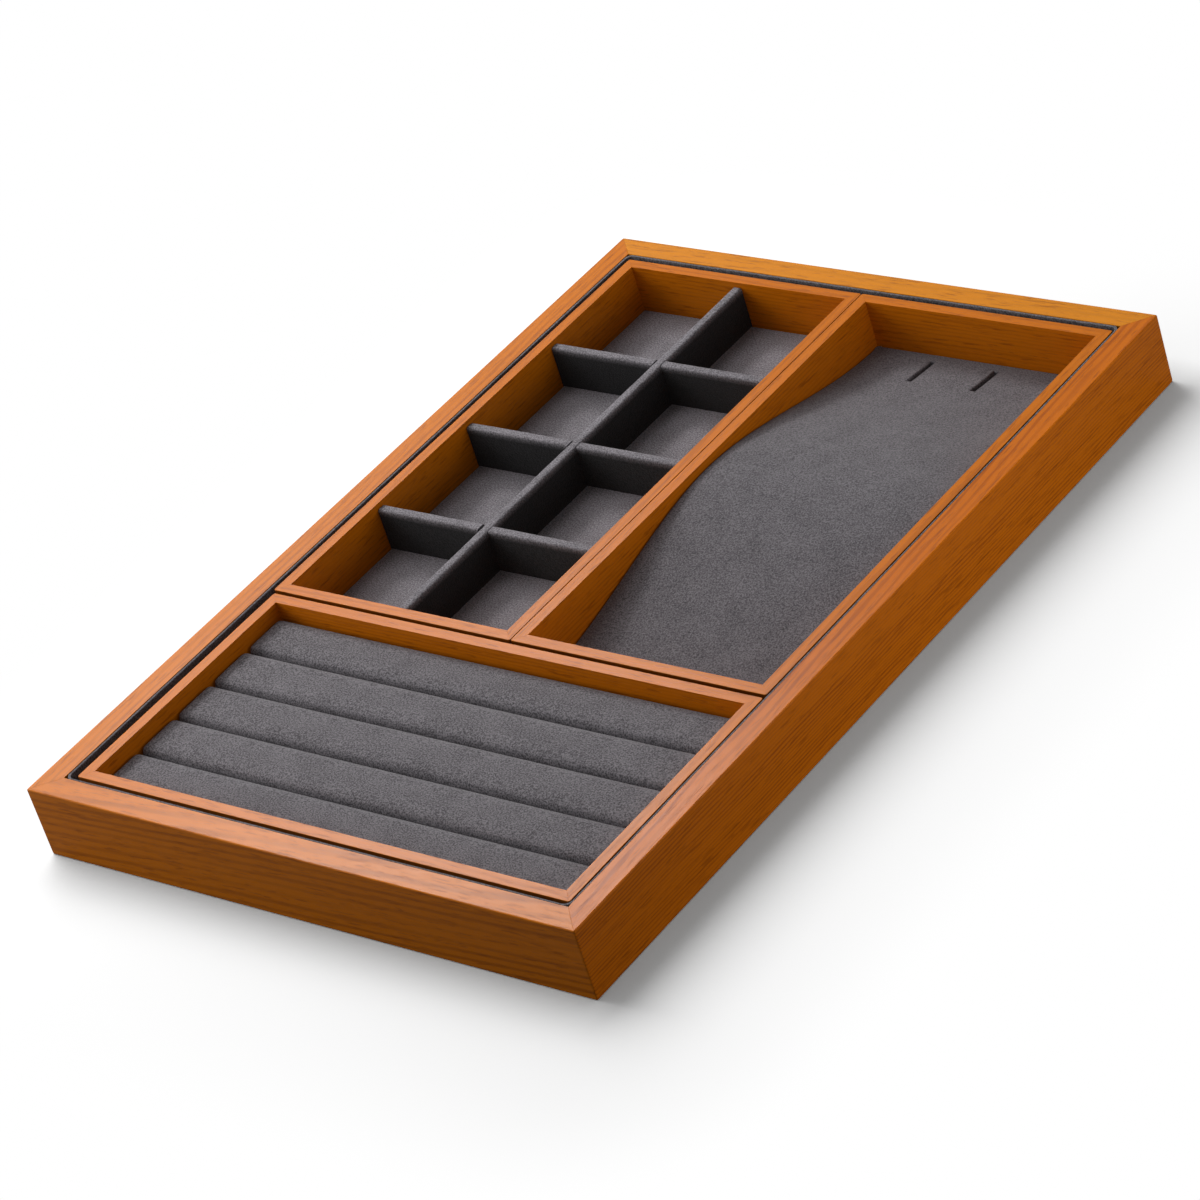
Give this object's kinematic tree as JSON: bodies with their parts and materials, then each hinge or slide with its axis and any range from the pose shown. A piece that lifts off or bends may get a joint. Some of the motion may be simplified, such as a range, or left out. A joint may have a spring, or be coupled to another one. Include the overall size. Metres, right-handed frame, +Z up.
{
  "type": "jewellery tray",
  "caption": "Low mitred wooden display tray that holds lift-out trays with covered compartments, a humped necklace pad and ring rolls, lined in charcoal suede cloth.",
  "frame": {"origin": "on the ground under the middle of the outer frame", "axes": "+X to the right, +Y to the back, where the two long trays are, +Z up"},
  "size_m": [0.24, 0.35, 0.028],
  "materials": {
    "stained_wood": "satin lacquer",
    "base_board": "plain",
    "suede": "napped",
    "underside_cloth": "napped",
    "foam": "matte",
    "backing_card": "matte"
  },
  "bodies": {
    "outer_tray": {"front_rail": "stained_wood", "right_rail": "stained_wood", "back_rail": "stained_wood", "left_rail": "stained_wood", "base_panel": "base_board", "underside_cloth": "underside_cloth", "base_lining": "suede", "wall_lining": "suede"},
    "grid_tray": {"grid_front_rail": "stained_wood", "grid_right_rail": "stained_wood", "grid_back_rail": "stained_wood", "grid_left_rail": "stained_wood", "grid_base": "base_board", "grid_floor_pad": "suede"},
    "necklace_tray": {"necklace_front_rail": "stained_wood", "necklace_right_rail": "stained_wood", "necklace_back_rail": "stained_wood", "necklace_left_rail": "stained_wood", "necklace_base": "base_board", "necklace_pad_core": "foam", "necklace_pad_cover": "suede"},
    "ring_tray": {"ring_front_rail": "stained_wood", "ring_right_rail": "stained_wood", "ring_back_rail": "stained_wood", "ring_left_rail": "stained_wood", "ring_base": "base_board", "ring_backing_card": "backing_card", "ring_roll_core_1": "foam", "ring_roll_core_2": "foam", "ring_roll_core_3": "foam", "ring_roll_core_4": "foam", "ring_roll_core_5": "foam", "ring_roll_cover_1": "suede", "ring_roll_cover_2": "suede", "ring_roll_cover_3": "suede", "ring_roll_cover_4": "suede", "ring_roll_cover_5": "suede"},
    "divider_lattice": {"long_divider": "suede", "cross_divider_front": "suede", "cross_divider_middle": "suede", "cross_divider_back": "suede"}
  },
  "joints": [
    {"name": "grid_tray_lift", "type": "slide", "parent": "outer_tray", "child": "grid_tray", "axis": [0, 0, 1], "range_m": [0, 0.06]},
    {"name": "necklace_tray_lift", "type": "slide", "parent": "outer_tray", "child": "necklace_tray", "axis": [0, 0, 1], "range_m": [0, 0.06]},
    {"name": "ring_tray_lift", "type": "slide", "parent": "outer_tray", "child": "ring_tray", "axis": [0, 0, 1], "range_m": [0, 0.06]},
    {"name": "divider_lift", "type": "slide", "parent": "grid_tray", "child": "divider_lattice", "axis": [0, 0, 1], "range_m": [0, 0.035]}
  ]
}
